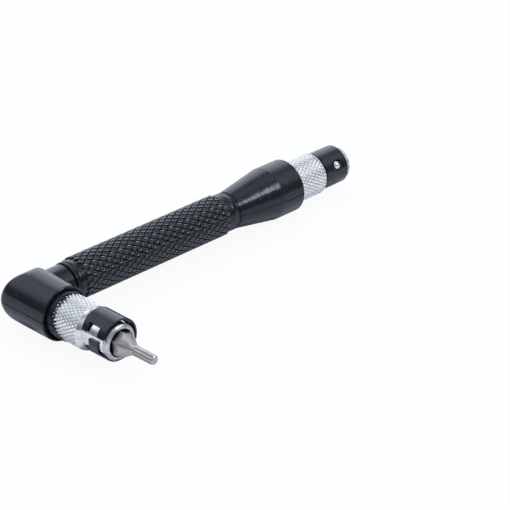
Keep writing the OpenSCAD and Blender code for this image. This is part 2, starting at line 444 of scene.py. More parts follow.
class Term:
    """A shader value whose Python operators add Math nodes."""

    def __init__(self, tree: "ShaderTree", socket: bpy.types.NodeSocket) -> None:
        """Wraps one output socket."""
        self.tree = tree
        self.socket = socket

    def __add__(self, other: "Term | float") -> "Term":
        """Adds."""
        return self.tree.math("ADD", self, other)

    def __sub__(self, other: "Term | float") -> "Term":
        """Subtracts."""
        return self.tree.math("SUBTRACT", self, other)

    def __rsub__(self, other: float) -> "Term":
        """Subtracts this value from a number."""
        return self.tree.math("SUBTRACT", other, self)

    def __mul__(self, other: "Term | float") -> "Term":
        """Multiplies."""
        return self.tree.math("MULTIPLY", self, other)

    def __pow__(self, other: float) -> "Term":
        """Raises to a power."""
        return self.tree.math("POWER", self, other)

    __radd__ = __add__
    __rmul__ = __mul__

    def size(self) -> "Term":
        """Drops the sign."""
        return self.tree.math("ABSOLUTE", self, 0.0)

    def ramp(self, low: float, high: float) -> "Term":
        """Eases from 0 to 1.

        Args:
            low: Value that gives 0.
            high: Value that gives 1.

        Returns:
            The eased value.
        """
        node = self.tree.add(
            "ShaderNodeMapRange",
            {"interpolation_type": "SMOOTHSTEP"},
            {"Value": self, "From Min": low, "From Max": high},
        )
        return Term(self.tree, node.outputs[0])

    def over(self, other: "Term") -> "Term":
        """Gives the larger of two values."""
        return self.tree.math("MAXIMUM", self, other)

    def within(self, low: float, high: float, inner: float, outer: float) -> "Term":
        """Gives 1 from low to high, fading at each end from inner inside it to outer past it."""
        half = (high - low) / 2
        return 1 - (self - (low + high) / 2).size().ramp(half - inner, half + outer)


class ShaderTree:
    """Node tree of a material or of the world, built by expressions."""

    def __init__(self, owner: bpy.types.Material | bpy.types.World) -> None:
        """Starts an empty tree.

        Args:
            owner: The material or world that it belongs to.
        """
        self.owner = owner
        owner.use_nodes = True
        self.tree = owner.node_tree
        self.tree.nodes.clear()

    @classmethod
    def material(cls, name: str) -> "ShaderTree":
        """Starts a new material's tree."""
        return cls(bpy.data.materials.new(name))

    def add(
        self,
        kind: str,
        settings: Mapping[str, Any] | None = None,
        inputs: Mapping[str | int, Any] | None = None,
    ) -> bpy.types.Node:
        """Adds any node.

        Args:
            kind: The node's type.
            settings: Properties of the node, set first.
            inputs: Values or links of its sockets, by name or number.

        Returns:
            The node.
        """
        node = self.tree.nodes.new(kind)
        for key, value in (settings or {}).items():
            setattr(node, key, value)
        for key, value in (inputs or {}).items():
            socket = node.inputs[key]
            if isinstance(value, Term):
                self.tree.links.new(value.socket, socket)
            elif isinstance(value, bpy.types.NodeSocket):
                self.tree.links.new(value, socket)
            else:
                socket.default_value = value
        return node

    def math(self, operation: str, a: "Term | float", b: "Term | float") -> Term:
        """Adds one Math node."""
        node = self.add("ShaderNodeMath", {"operation": operation}, {0: a, 1: b})
        return Term(self, node.outputs[0])

    def place(self) -> Term:
        """Gives the point's place in the part's frame."""
        return Term(self, self.add("ShaderNodeTexCoord").outputs["Object"])

    def axes(self) -> tuple[Term, Term, Term]:
        """Gives the point's X, Y and Z in the part's frame."""
        node = self.add("ShaderNodeSeparateXYZ", inputs={0: self.place()})
        return tuple(Term(self, socket) for socket in node.outputs)

    def dot(self, vector: Term, way: Vector) -> Term:
        """Gives how far a vector reaches along a direction."""
        node = self.add("ShaderNodeVectorMath", {"operation": "DOT_PRODUCT"}, {0: vector, 1: way})
        return Term(self, node.outputs["Value"])

    def depth(self, start: Vector, way: Vector) -> Term:
        """Gives how far the point lies from start along a direction."""
        return self.dot(self.place(), way) - start.dot(way)

    def reach(self, along: Axis, middle: Sequence[float]) -> Term:
        """Gives the point's distance from the line through middle along an axis."""
        offsets = [value - middle[i] for i, value in enumerate(self.axes()) if i != along]
        return (offsets[0] ** 2.0 + offsets[1] ** 2.0) ** 0.5

    def noise(
        self,
        grain: float,
        detail: float = 2.0,
        rough: float = 0.5,
        stretch: Stretch | None = None,
    ) -> Term:
        """Adds a noise in the part's frame.

        Args:
            grain: Size of its blotches.
            detail: Octaves.
            rough: How strong the finer octaves are.
            stretch: Factor on X, Y and Z, which draws the blotches out where it is under 1.

        Returns:
            The noise, about 0.5.
        """
        vector = self.place()
        if stretch:
            scaled = self.add(
                "ShaderNodeMapping", {"vector_type": "POINT"}, {"Vector": vector, "Scale": stretch}
            )
            vector = Term(self, scaled.outputs[0])
        node = self.add(
            "ShaderNodeTexNoise",
            inputs={"Vector": vector, "Scale": 1 / grain, "Detail": detail, "Roughness": rough},
        )
        return Term(self, node.outputs["Fac"])

    def blend(self, factor: Term, low: Colour | Term, high: Colour | Term) -> Term:
        """Mixes two colours: a factor of 0 gives low and 1 gives high."""
        node = self.add("ShaderNodeMix", {"data_type": "RGBA"}, {"Factor": factor, 6: low, 7: high})
        return Term(self, node.outputs[2])

    def tinted(self, colour: Term, level: Term) -> Term:
        """Darkens a colour: a level of 0 gives black and 1 the colour itself."""
        return self.blend(level, BLACK, colour)

    def bump(self, height: Term, depth: float, strength: float) -> Term:
        """Turns a height into a bumped normal.

        Args:
            height: The height, from 0 to 1.
            depth: What 1 stands for, in metres.
            strength: Share of the effect.

        Returns:
            The normal.
        """
        node = self.add(
            "ShaderNodeBump", inputs={"Height": height, "Distance": depth, "Strength": strength}
        )
        return Term(self, node.outputs[0])

    def surface(self, **inputs: Any) -> bpy.types.Material:
        """Ends the tree in a Principled surface.

        Args:
            inputs: Values or links of its sockets, with underscores for spaces.

        Returns:
            The material.
        """
        sockets = {key.replace("_", " "): value for key, value in inputs.items()}
        shader = self.add("ShaderNodeBsdfPrincipled", inputs=sockets)
        self.add("ShaderNodeOutputMaterial", inputs={"Surface": shader.outputs[0]})
        return self.owner


# Finishes


def round_axis(along: Axis, share: float) -> Stretch:
    """Gives the stretch that draws marks out round an axis."""
    return tuple(1.0 if i == along else share for i in Axis)


@dataclass(frozen=True)
class HandlePlastic:
    """Gloss black moulding with flow marks, specks and painted shade along its seam.

    Attributes:
        name: The material's name.
        seam_z: Height of the parting line.
        dark: Colour of the moulding.
        dusty: Colour where it has dulled.
        dust: Colour of the few pale specks.
        sheen: Tint of what it mirrors.
        roughness: Its gloss.
        relief: Depth of its marks.
        ringed_x: Where the turned marks of the cone's mould start.
        flare_x: Where the cone ends, and the faint stretch of painted seam shade with it.
        fade: Length over which each of these comes in or goes.
    """

    name: str
    seam_z: float
    dark: Colour = (0.0075, 0.0092, 0.0115, 1)
    dusty: Colour = (0.0125, 0.0145, 0.0175, 1)
    dust: Colour = (0.2, 0.21, 0.22, 1)
    sheen: Colour = (0.82, 0.9, 1.0, 1)
    roughness: float = 0.13
    relief: float = 0.012 * MM
    ringed_x: float = 15 * MM
    flare_x: float = 32 * MM
    fade: float = 2 * MM

    def make(self) -> bpy.types.Material:
        """Builds the material.

        Returns:
            The material.
        """
        tree = ShaderTree.material(self.name)
        x, _, z = tree.axes()
        ringed = x.ramp(self.ringed_x, self.ringed_x + self.fade)
        rings = tree.noise(0.7 * MM, 3, 0.6, (1, 0.3, 0.3))
        cloud = tree.noise(6 * MM, 3)
        flow = tree.noise(0.55 * MM, 3, 0.6, (0.35, 1, 1))
        fine = tree.noise(0.12 * MM, 2)
        speck = tree.noise(0.9 * MM, 1).ramp(0.74, 0.8)
        worn = tree.noise(1.1 * MM, 2, stretch=(0.5, 0.5, 0)).ramp(0.25, 0.6)
        # Painted shade along the parting line, broken up along its length.
        seam = (1 - (z - self.seam_z).size().ramp(0.11 * MM, 0.23 * MM)) * (0.6 + worn * 0.4)
        seam = seam * (1 - ringed * (1 - x.ramp(self.flare_x, self.flare_x + self.fade)) * 0.6)
        colour = tree.blend(cloud.ramp(0.3, 0.75) * 0.6 + speck * 0.5, self.dark, self.dusty)
        pale = tree.noise(0.55 * MM, 0).ramp(0.8, 0.86)
        colour = tree.blend(pale, colour, self.dust)
        gloss = self.roughness + (cloud - 0.5) * 0.1 + (flow - 0.5) * 0.08
        gloss = gloss + speck * 0.2 + seam * 0.3 + ringed * (0.03 + (rings - 0.5) * 0.7)
        height = flow * 0.4 + fine * 0.1 + speck * 0.25 - seam * 1.5 + ringed * rings * 12
        # Where the seam's painted shade lies, the colour goes black and the surface becomes black
        # metal, so it mirrors nothing.
        return tree.surface(
            Base_Color=tree.tinted(colour, 1 - seam),
            Metallic=seam,
            Roughness=gloss,
            IOR=MOULDING_IOR,
            Specular_Tint=self.sheen,
            Normal=tree.bump(height, self.relief, 0.5),
        )


@dataclass(frozen=True)
class GripRubber:
    """Satin black over-moulding, smoother on the pad tops, with painted shade in the grooves
    between the pads.

    Attributes:
        name: The material's name.
        axis_y: Place of the sleeve's axis in Y.
        axis_z: Place of the sleeve's axis in Z.
        floor_r: Radius between the pads.
        top_r: Radius over the pads.
        groove: Colour between the pads, darker as painted shade in the grooves.
        pad: Colour of the pad tops.
        sheen: Tint of what it mirrors.
    """

    name: str
    axis_y: float
    axis_z: float
    floor_r: float
    top_r: float
    groove: Colour = (0.0045, 0.0055, 0.0065, 1)
    pad: Colour = (0.03, 0.034, 0.04, 1)
    sheen: Colour = (0.82, 0.9, 1.0, 1)

    def make(self) -> bpy.types.Material:
        """Builds the material.

        Returns:
            The material.
        """
        tree = ShaderTree.material(self.name)
        top = tree.reach(Axis.X, (0, self.axis_y, self.axis_z)).ramp(self.floor_r, self.top_r)
        cloud = tree.noise(4 * MM, 3)
        grain = tree.noise(0.16 * MM, 3, 0.6)
        # Painted shade: the grooves between the pads are coloured darker than the pad tops.
        colour = tree.blend(top * (0.55 + cloud * 0.6), self.groove, self.pad)
        gloss = 0.2 - top * 0.03 + (cloud - 0.5) * 0.08 + (grain - 0.5) * 0.05
        return tree.surface(
            Base_Color=colour,
            Roughness=gloss,
            IOR=MOULDING_IOR,
            Specular_Tint=self.sheen,
            Coat_Weight=top * 0.7,
            Coat_Roughness=0.2,
            Normal=tree.bump(grain, 0.006 * MM, 0.4),
        )


@dataclass(frozen=True)
class BrightPlate:
    """Bright plate over turned steel, with painted shade inside its bore.

    Attributes:
        name: The material's name.
        along: Which axis the piece was turned about.
        middle: A point of that axis.
        knurl: Where the knurl starts and ends on that axis.
        floor_r: Radius of the knurl's grooves.
        bore_r: Radius of the bore, inside which painted shade darkens the plate.
        nose: Where the rough-turned nose starts on the axis and the way to its front.
        bright: Colour of the plate.
        dull: Colour where it has clouded.
        roughness: Its polish.
    """

    name: str
    along: Axis
    middle: Vector
    knurl: tuple[float, float]
    floor_r: float
    bore_r: float
    nose: tuple[float, float]
    bright: Colour = (0.98, 0.975, 0.97, 1)
    dull: Colour = (0.68, 0.69, 0.71, 1)
    roughness: float = 0.09

    def make(self) -> bpy.types.Material:
        """Builds the material.

        Returns:
            The material.
        """
        tree = ShaderTree.material(self.name)
        rings = tree.noise(0.11 * MM, 3, 0.65, round_axis(self.along, 0.12))
        cloud = tree.noise(1.4 * MM, 3)
        pits = tree.noise(0.22 * MM, 2).ramp(0.66, 0.76)
        place = tree.axes()[self.along]
        cut = place.within(*self.knurl, 0.1 * MM, 0.1 * MM)
        radius = tree.reach(self.along, self.middle)
        # Painted shade inside the bore.
        bore = 1 - radius.ramp(self.bore_r, self.bore_r + 0.08 * MM)
        # Darker towards the floors of the knurl's grooves.
        knurl_floor_dark = cut * (1 - radius.ramp(self.floor_r, self.floor_r + 0.22 * MM))
        stain = (cloud.ramp(0.4, 0.7) * 0.8 + pits * 0.2) * (1 - cut * 0.65)
        colour = tree.blend(stain, self.bright, self.dull)
        start, way = self.nose
        front = ((place - start) * way).ramp(-0.05 * MM, 0.05 * MM)
        patch = tree.noise(1.1 * MM, 2).ramp(0.36, 0.64)
        worn = (1 - front * (0.15 + patch * 0.3)) * (0.92 + cut * 0.08)
        # The plate is darkened by the painted shade in the bore and towards the floors of the
        # knurl's grooves.
        colour = tree.tinted(colour, worn * (1 - bore * 0.95 - knurl_floor_dark * 0.26))
        gloss = self.roughness + cut * 0.26 + front * 0.3 + (cloud - 0.5) * 0.1
        gloss = gloss + pits * 0.12 + (rings - 0.5) * 0.1
        return tree.surface(
            Base_Color=colour,
            Metallic=1.0,
            Roughness=gloss,
            Normal=tree.bump(rings * 0.7 - pits * 0.6, 0.012 * MM, 0.5),
        )


@dataclass(frozen=True)
class BlackSpring:
    """Blackened spring steel with rubbed patches.

    Attributes:
        name: The material's name.
        along: Axis that the band goes round.
        dark: Colour of the blackening.
        rubbed: Colour where it has worn.
        sheen: Tint of what it mirrors.
    """

    name: str
    along: Axis
    dark: Colour = (0.0095, 0.0115, 0.014, 1)
    rubbed: Colour = (0.03, 0.033, 0.037, 1)
    sheen: Colour = (0.86, 0.92, 1.0, 1)

    def make(self) -> bpy.types.Material:
        """Builds the material.

        Returns:
            The material.
        """
        tree = ShaderTree.material(self.name)
        rolled = tree.noise(0.14 * MM, 3, 0.6, round_axis(self.along, 0.1))
        cloud = tree.noise(2.2 * MM, 3)
        worn = cloud.ramp(0.58, 0.8) * rolled.ramp(0.45, 0.7)
        return tree.surface(
            Base_Color=tree.blend(worn, self.dark, self.rubbed),
            Roughness=0.17 + (cloud - 0.5) * 0.1 + (rolled - 0.5) * 0.08,
            IOR=MOULDING_IOR,
            Specular_Tint=self.sheen,
            Normal=tree.bump(rolled, 0.006 * MM, 0.4),
        )


@dataclass(frozen=True)
class SatinSteel:
    """Plain tool steel with a fine blasted or drawn grain.

    Attributes:
        name: The material's name.
        light: Colour of the bare metal.
        shade: Colour of its darker patches.
        roughness: Its sheen.
        grain: Size of the grain.
        relief: Depth of the grain.
        stretch: Factor on X, Y and Z that draws the grain out.
    """

    name: str
    light: Colour
    shade: Colour
    roughness: float
    grain: float
    relief: float
    stretch: Stretch = (1, 1, 1)

    def make(self) -> bpy.types.Material:
        """Builds the material.

        Returns:
            The material.
        """
        tree = ShaderTree.material(self.name)
        grain = tree.noise(self.grain, 3, 0.6, self.stretch)
        cloud = tree.noise(1.6 * MM, 3)
        mark = tree.noise(3.5 * self.grain, 2, stretch=self.stretch).ramp(0.6, 0.75)
        return tree.surface(
            Base_Color=tree.blend(cloud.ramp(0.3, 0.75) * 0.8 + mark * 0.2, self.light, self.shade),
            Metallic=1.0,
            Roughness=self.roughness + (cloud - 0.5) * 0.14 + (grain - 0.5) * 0.12,
            Normal=tree.bump(grain - mark * 0.4, self.relief, 0.6),
        )


@dataclass(frozen=True)
class BitSteel:
    """Blasted tool steel, darker on the flats of the hexagon.

    Attributes:
        name: The material's name.
        head: The head that holds the bit, with the ball on one of its flats.
        flats_r: Distance of the flats from the axis.
        light: Colour of the blasted metal.
        shade: Colour of its darker patches.
        rolled: Colour of the flats of the hexagon, darker than the blasted metal.
    """

    name: str
    head: "Head"
    flats_r: float
    light: Colour = (0.54, 0.505, 0.48, 1)
    shade: Colour = (0.43, 0.4, 0.38, 1)
    rolled: Colour = (0.36, 0.345, 0.31, 1)

    def make(self) -> bpy.types.Material:
        """Builds the material.

        Returns:
            The material.
        """
        tree = ShaderTree.material(self.name)
        grain = tree.noise(0.09 * MM, 3, 0.6)
        cloud = tree.noise(1.6 * MM, 3)
        scratch = tree.noise(0.14 * MM, 2, stretch=(1, 0.12, 1)).ramp(0.58, 0.74)
        sides = [
            tree.depth(
                self.head.mouth, Matrix.Rotation(turn, 3, self.head.out) @ self.head.ball
            ).size()
            for turn in (0, math.pi / 3, 2 * math.pi / 3)
        ]
        widest = sides[0].over(sides[1]).over(sides[2])
        # The hexagon's flats are coloured darker than the rest of the bit.
        flats = widest.ramp(self.flats_r - 0.06 * MM, self.flats_r - 0.015 * MM)
        blasted = tree.blend(cloud.ramp(0.3, 0.75) * 0.8 + scratch * 0.2, self.light, self.shade)
        return tree.surface(
            Base_Color=tree.blend(flats, blasted, self.rolled),
            Metallic=1.0,
            Roughness=0.33 + (cloud - 0.5) * 0.12 + (grain - 0.5) * 0.12 - scratch * 0.06,
            Normal=tree.bump(grain - scratch * 0.4, 0.009 * MM, 0.6),
        )


@dataclass(frozen=True)
class WhiteFloor:
    """Plain white table that the camera and mirrors see as white, with a painted shadow under the
    tool where mirrors see it.

    Attributes:
        name: The material's name.
        paint: Colour of the table.
        glow: Share of the plain white over the lit paint, as the camera sees it.
        mirrored: The same share as mirrors and glass see it.
        level: Strength of that white.
        cool: Its tint as mirrors see it.
        shadow_arms: The tool's two arms on it, under which the painted shadow lies: axis along,
            place across, start and end.
        foot: Distances from an arm's middle between which the painted shadow fades.
        beyond: Distance past an arm's end at which the painted shadow has faded.
    """

    name: str = "floor_white"
    paint: Colour = (0.74, 0.755, 0.8, 1)
    glow: float = 0.9
    mirrored: float = 0.58
    level: float = 1.03
    cool: Colour = (0.86, 0.89, 1.0, 1)
    shadow_arms: tuple[tuple[Axis, float, float, float], ...] = (
        (Axis.X, 19.85 * MM, -61 * MM, 62 * MM),
        (Axis.Y, -54.45 * MM, -15 * MM, 27 * MM),
    )
    foot: tuple[float, float] = (3.6 * MM, 7.7 * MM)
    beyond: float = 2 * MM

    def make(self) -> bpy.types.Material:
        """Builds the material.

        Returns:
            The material.
        """
        tree = ShaderTree.material(self.name)
        rays = tree.add("ShaderNodeLightPath")
        camera, glossy, through = (
            Term(tree, rays.outputs[f"Is {kind} Ray"])
            for kind in ("Camera", "Glossy", "Transmission")
        )
        # Painted shadow: mirrors see less of the white where the table lies under the tool.
        mirror = glossy.over(through) * (1 - self._painted_shadow(tree)) * self.mirrored
        share = mirror.over(camera * self.glow)
        paint = tree.add("ShaderNodeBsdfDiffuse", inputs={"Color": self.paint})
        tint = tree.blend(camera, self.cool, WHITE)
        white = tree.add("ShaderNodeEmission", inputs={"Color": tint, "Strength": self.level})
        mixed = tree.add(
            "ShaderNodeMixShader",
            inputs={0: share, 1: paint.outputs[0], 2: white.outputs[0]},
        )
        tree.add("ShaderNodeOutputMaterial", inputs={"Surface": mixed.outputs[0]})
        return tree.owner

    def _painted_shadow(self, tree: ShaderTree) -> Term:
        """Tells where the painted shadow under the tool lies.

        Args:
            tree: The floor's tree.

        Returns:
            1 on the table under the tool and 0 away from it.
        """
        axes = tree.axes()
        arms = [
            (1 - (axes[1 - along] - across).size().ramp(*self.foot))
            * axes[along].within(start, end, 0, self.beyond)
            for along, across, start, end in self.shadow_arms
        ]
        return arms[0].over(arms[1])


def dress(obj: bpy.types.Object, material: bpy.types.Material) -> None:
    """Gives a piece or a CAD node one material all over."""
    obj.data.materials.clear()
    obj.data.materials.append(material)


def report(piece: bpy.types.Object) -> None:
    """Logs one finished piece."""
    piece.data.calc_loop_triangles()
    LOG.info("%s: %d triangles", piece.name, len(piece.data.loop_triangles))


def dress_node(node: str, finish: SatinSteel) -> None:
    """Finishes and reports a CAD node that is shown as it is packed.

    Args:
        node: The node.
        finish: Its finish.
    """
    piece = frame["nodes"][node]
    dress(piece, finish.make())
    report(piece)


# Pieces of the tool


@dataclass(frozen=True)
class Head:
    """Where one bit socket stands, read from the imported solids.

    Attributes:
        name: Which end of the handle it is on.
        along: Axis that it lies on.
        mouth: Middle of its open end.
        out: Direction out of the mouth.
        ball: Direction of the detent ball from the axis.
    """

    name: str
    along: Axis
    mouth: Vector
    out: Vector
    ball: Vector

    @classmethod
    def read(cls, name: str, along: Axis, sign: int) -> "Head":
        """Reads a head from its socket's and ball's boxes.

        Args:
            name: The head's name, which starts its nodes' names.
            along: Axis that it lies on.
            sign: Way that it points along the axis.

        Returns:
            The head.
        """
        low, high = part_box(f"{name}_socket")
        mouth = (low + high) / 2
        mouth[along] = (high if sign > 0 else low)[along]
        ball_low, ball_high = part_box(f"{name}_detent_ball")
        ball = (ball_low + ball_high) / 2 - mouth
        ball[along] = 0
        return cls(name, along, mouth, step_along(along, sign), ball.normalized())

    def place(self) -> Matrix:
        """Places what is drawn about the origin.

        Returns:
            The frame with Z out of the mouth and X toward the ball.
        """
        side = self.out.cross(self.ball)
        turn = Matrix((self.ball, side, self.out)).transposed().to_4x4()
        return Matrix.Translation(self.mouth) @ turn


class Piece(ABC):
    """One piece that its class models, dresses and seats."""

    @abstractmethod
    def build(self) -> bpy.types.Object:
        """Models the piece in its place."""

    @abstractmethod
    def dress(self, piece: bpy.types.Object, material: bpy.types.Material) -> None:
        """Finishes the piece and seats it on its body."""

    def add(self, material: bpy.types.Material) -> None:
        """Builds, dresses and reports the piece.

        Args:
            material: Its finish.
        """
        piece = self.build()
        self.dress(piece, material)
        report(piece)


@dataclass
class BitSocket(Piece):
    """Turned, knurled and plated socket of one head.

    Attributes:
        head: Where it stands.
        tube_r: Radius of the tube under the spring band.
        tube_length: Length of the tube ahead of the shoulder.
        shoulder_r: Small end of the plain shoulder.
        shoulder_length: Length of the shoulder.
        knurl_r: Radius over the knurl.
        knurl_depth: Depth of the knurl's grooves.
        knurl_columns: Diamonds round the knurl.
        knurl_pitch: Length of one diamond.
        knurl_tip: Share of a diamond's width that is left at its tip.
        knurl_end: How far the knurl ends behind the shoulder.
        collar_length: Length of the clamped collar.
        collar_edge: Chamfer at the collar's back.
        lead_r: Radius of the round lead-in.
        lead_depth: Depth of the round lead-in.
        lead_edge: Chamfer at its mouth.
        flats: Hexagon bore across its flats.
        bore_depth: Depth of the hexagon bore.
        ball_hole_r: Radius of the ball's hole.
        ball_back: Distance of the ball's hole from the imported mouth.
        nose: Length of the coned nose.
        turned_back: Length of the tube behind it that is turned as rough.
        ahead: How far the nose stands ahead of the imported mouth.
        hidden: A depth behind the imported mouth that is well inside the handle.
        broken: Size of the broken edges of the shoulder and the nose.
        rounding: Easing of the sharp edges.
        sharp: Edges sharper than this many degrees are eased.
        soft: Faces meeting under this many degrees shade as one.
        steps: Facets round the body.
        lead_steps: Facets round the lead-in.
    """

    head: Head
    tube_r: float = 5.03 * MM
    tube_length: float = 9.7 * MM
    shoulder_r: float = 5.2 * MM
    shoulder_length: float = 1.2 * MM
    knurl_r: float = 6.25 * MM
    knurl_depth: float = 0.34 * MM
    knurl_columns: int = 36
    knurl_pitch: float = 1.85 * MM
    knurl_tip: float = 0.42
    knurl_end: float = 0.15 * MM
    collar_length: float = 2.5 * MM
    collar_edge: float = 0.3 * MM
    lead_r: float = 3.85 * MM
    lead_depth: float = 1.0 * MM
    lead_edge: float = 0.15 * MM
    flats: float = 6.45 * MM
    bore_depth: float = 20.4 * MM
    ball_hole_r: float = 1.7 * MM
    ball_back: float = 5.05 * MM
    nose: float = 0.6 * MM
    turned_back: float = 1.0 * MM
    ahead: float = 0.0
    hidden: float = 25 * MM
    broken: float = 0.08 * MM
    rounding: float = 0.07 * MM
    sharp: float = 50
    soft: float = 32
    steps: int = 128
    lead_steps: int = 96

    @property
    def floor_r(self) -> float:
        """Radius of the knurl's grooves."""
        return self.knurl_r - self.knurl_depth

    def _along(self, ahead: float) -> float:
        """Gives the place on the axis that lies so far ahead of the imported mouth."""
        return (self.head.mouth + self.head.out * ahead)[self.head.along]

    def build(self) -> bpy.types.Object:
        """Turns the body, bores it and cuts the knurl.

        Returns:
            The finished socket in its place.
        """
        low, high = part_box(f"{self.head.name}_socket")
        back = -(high - low)[self.head.along] - self.ahead
        across = Axis.Z if self.head.along is Axis.Y else Axis.Y
        collar_r = (high - low)[across] / 2
        step = -self.tube_length - self.shoulder_length
        body = turned(
            f"{self.head.name}_socket_body",
            [
                (0, back),
                (collar_r - self.collar_edge, back),
                (collar_r, back + self.collar_edge),
                (collar_r, back + self.collar_length),
                (self.floor_r, back + self.collar_length),
                (self.floor_r, step - 0.2 * MM),
                (self.knurl_r - 0.05 * MM, step - self.knurl_end),
                (self.knurl_r - 0.12 * MM, step),
                (self.shoulder_r, -self.tube_length - self.broken),
                (self.shoulder_r - self.broken, -self.tube_length),
                (self.tube_r, -self.tube_length),
                (self.tube_r, -self.nose),
                (self.tube_r - 0.05 * MM, -self.nose + self.broken),
                (self.lead_r + 0.5 * MM, -0.05 * MM),
                (self.lead_r + 0.35 * MM, 0),
                (0, 0),
            ],
            self.steps,
        )
        self._bore(body)
        ease(body, self.rounding, self.sharp)
        knurl = self._knurl(back + self.collar_length, step - self.knurl_end)
        whole = joined(f"{self.head.name}_socket_plated", [body, knurl])
        settle(whole, self.head.place() @ Matrix.Translation((0, 0, self.ahead)))
        smooth(whole, self.soft)
        return whole

    def _bore(self, body: bpy.types.Object) -> None:
        """Cuts the lead-in, the hexagon and the ball's hole.

        Args:
            body: The turned body.
        """
        spare = 2 * MM
        lead = turned(
            "lead_cutter",
            [
                (0, -self.lead_depth),
                (self.lead_r - 0.2 * MM, -self.lead_depth),
                (self.lead_r, -self.lead_depth + 0.25 * MM),
                (self.lead_r, -self.lead_edge),
                (self.lead_r + self.lead_edge, 0),
                (self.lead_r + self.lead_edge, spare),
                (0, spare),
            ],
            self.lead_steps,
        )
        carve(body, lead)
        length = self.bore_depth + spare
        middle = (0, 0, (spare - self.bore_depth) / 2)
        carve(body, rod("hexagon_cutter", 6, self.flats / math.sqrt(3), length, middle))
        middle = (self.tube_r, 0, -self.ball_back - self.ahead)
        drill = rod(
            "ball_hole_cutter", HOLE_SIDES, self.ball_hole_r, self.tube_r, middle, math.pi / 2
        )
        carve(body, drill)

    def _knurl(self, low: float, high: float) -> bpy.types.Object:
        """Cuts the diamond knurl between two heights.

        Args:
            low: Where it starts.
            high: Where it ends, at the shoulder.

        Returns:
            The knurl, along Z.
        """
        row = self.knurl_pitch / 2
        rows = int((high - low) / row)
        sunk = 0.04 * MM
        diamond = fresh(
            "knurl_diamond",
            bpy.ops.mesh.primitive_cone_add,
            vertices=4,
            radius1=0.5,
            radius2=0.5 * self.knurl_tip,
            depth=self.knurl_depth + sunk,
            end_fill_type="TRIFAN",
        )
        step = 2 * math.pi * self.floor_r / self.knurl_columns
        with editing(diamond):
            pick(diamond, Pick.FACES, lambda face: face.normal.z < -FACING)
            bpy.ops.mesh.delete(type="FACE")
        diamond.scale = (self.knurl_pitch, step, 1)
        diamond.rotation_euler = (math.pi / 2, 0, 0)
        diamond.location = (0, -(self.knurl_depth - sunk) / 2, 0)
        apply_place()
        knurl = StudField(self.knurl_columns, rows, self.knurl_pitch, self.floor_r).wrap(
            f"{self.head.name}_knurl", diamond
        )
        first = high - (rows - 1) * row - 0.5 * row
        settle(knurl, Matrix.Translation((0, 0, first)) @ Matrix.Rotation(-math.pi / 2, 4, "Y"))
        return knurl

    def plate(self) -> bpy.types.Material:
        """Makes the socket's finish.

        Returns:
            Its bright plate.
        """
        front = self.ahead - self.tube_length - self.shoulder_length
        turned_from = self._along(self.ahead - self.nose - self.turned_back)
        return BrightPlate(
            f"bright_plate_{self.head.name}",
            self.head.along,
            self.head.mouth,
            knurl=tuple(sorted((self._along(-self.hidden), self._along(front)))),
            floor_r=self.floor_r,
            bore_r=self.lead_r,
            nose=(turned_from, self.head.out[self.head.along]),
        ).make()

    def dress(self, piece: bpy.types.Object, material: bpy.types.Material) -> None:
        """Plates the socket and seats it on the handle.

        Args:
            piece: The finished socket.
            material: Its plate.
        """
        dress(piece, material)
        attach(piece, "handle")
        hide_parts(f"{self.head.name}_socket")


